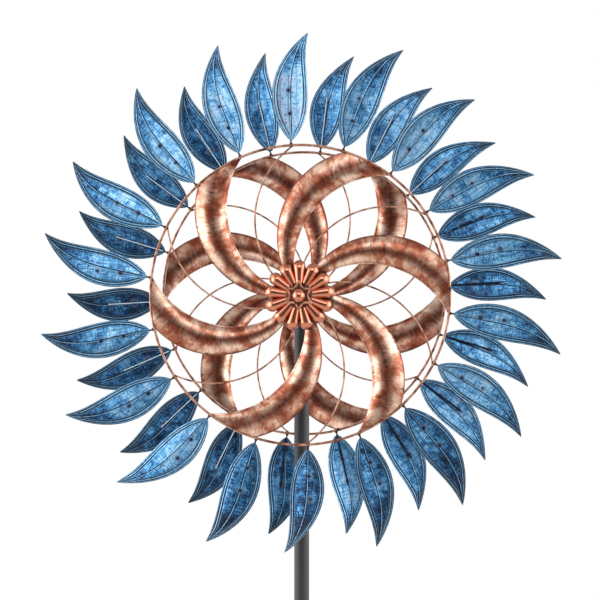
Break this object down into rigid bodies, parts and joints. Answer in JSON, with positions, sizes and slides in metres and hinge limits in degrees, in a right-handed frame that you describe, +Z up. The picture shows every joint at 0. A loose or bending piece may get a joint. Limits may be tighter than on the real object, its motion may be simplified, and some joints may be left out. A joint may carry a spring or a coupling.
{
  "type": "kinetic wind sculpture",
  "caption": "Garden wind spinner: two counter-turning wheels with copper trough blades inside a wire ring and blue leaves round it, on a black staked pole.",
  "frame": {"origin": "on the pole's axis at ground level, where the centre spike leaves the pole's foot", "axes": "+Z up along the pole, the wheels' axle lies along Y at height 1.370 m, and the flower faces -Y"},
  "size_m": [0.6096, 0.1609, 1.9048],
  "materials": {
    "blue_leaf_paint": "metallic blue paint with dark rubbed-in patina",
    "copper_blade_finish": "brushed copper paint with dark patina streaks, semi-gloss",
    "polished_copper_finish": "glossy red copper",
    "bronze_wire_finish": "satin brown-copper paint",
    "dark_stem_finish": "dark satin paint",
    "black_powder_coat": "semi-gloss black powder coat",
    "black_plastic": "moulded",
    "zinc_plated_steel": "bright zinc plate",
    "bearing_steel": "ground and polished"
  },
  "bodies": {
    "stand": {"centre_spike": "black_powder_coat", "ground_prongs": "black_powder_coat", "lower_pole": "black_powder_coat", "middle_pole": "black_powder_coat", "upper_pole": "black_powder_coat", "lower_coupler": "black_powder_coat", "upper_coupler": "black_powder_coat", "coupler_screws": "zinc_plated_steel", "pole_cap": "black_plastic", "axle_rod": "zinc_plated_steel", "axle_cross_tube": "black_powder_coat", "bearing_inner_rings": "bearing_steel", "axle_spacers": "zinc_plated_steel", "bearing_spacers": "bearing_steel", "axle_washers": "zinc_plated_steel", "front_lock_nut": "zinc_plated_steel", "rear_dome_nut": "zinc_plated_steel"},
    "front_wheel": {"front_ring": "bronze_wire_finish", "front_blade_1": "copper_blade_finish", "front_blade_2": "copper_blade_finish", "front_blade_3": "copper_blade_finish", "front_blade_4": "copper_blade_finish", "front_blade_5": "copper_blade_finish", "front_blade_6": "copper_blade_finish", "front_curved_wires": "bronze_wire_finish", "front_leaf_stems": "dark_stem_finish", "front_leaves_1": "blue_leaf_paint", "front_leaves_2": "blue_leaf_paint", "front_leaves_3": "blue_leaf_paint", "front_leaves_4": "blue_leaf_paint", "front_leaves_5": "blue_leaf_paint", "front_leaves_6": "blue_leaf_paint", "front_hub_sleeve": "bronze_wire_finish", "front_hub_plate": "bronze_wire_finish", "front_bearing_outer_rings": "bearing_steel", "front_bearing_balls": "bearing_steel", "flower_petals": "polished_copper_finish", "flower_star": "polished_copper_finish", "flower_ball": "polished_copper_finish"},
    "back_wheel": {"back_ring": "bronze_wire_finish", "back_blade_1": "copper_blade_finish", "back_blade_2": "copper_blade_finish", "back_blade_3": "copper_blade_finish", "back_blade_4": "copper_blade_finish", "back_blade_5": "copper_blade_finish", "back_blade_6": "copper_blade_finish", "back_curved_wires": "bronze_wire_finish", "back_leaf_stems": "dark_stem_finish", "back_leaves_1": "blue_leaf_paint", "back_leaves_2": "blue_leaf_paint", "back_leaves_3": "blue_leaf_paint", "back_leaves_4": "blue_leaf_paint", "back_leaves_5": "blue_leaf_paint", "back_leaves_6": "blue_leaf_paint", "back_hub_sleeve": "bronze_wire_finish", "back_hub_plate": "bronze_wire_finish", "back_bearing_outer_rings": "bearing_steel", "back_bearing_balls": "bearing_steel"}
  },
  "joints": [
    {"name": "front_spin", "type": "hinge", "parent": "stand", "child": "front_wheel", "pos_m": [0, -0.055, 1.37], "axis": [0, -1, 0], "continuous": true},
    {"name": "back_spin", "type": "hinge", "parent": "stand", "child": "back_wheel", "pos_m": [0, 0.055, 1.37], "axis": [0, -1, 0], "continuous": true}
  ]
}
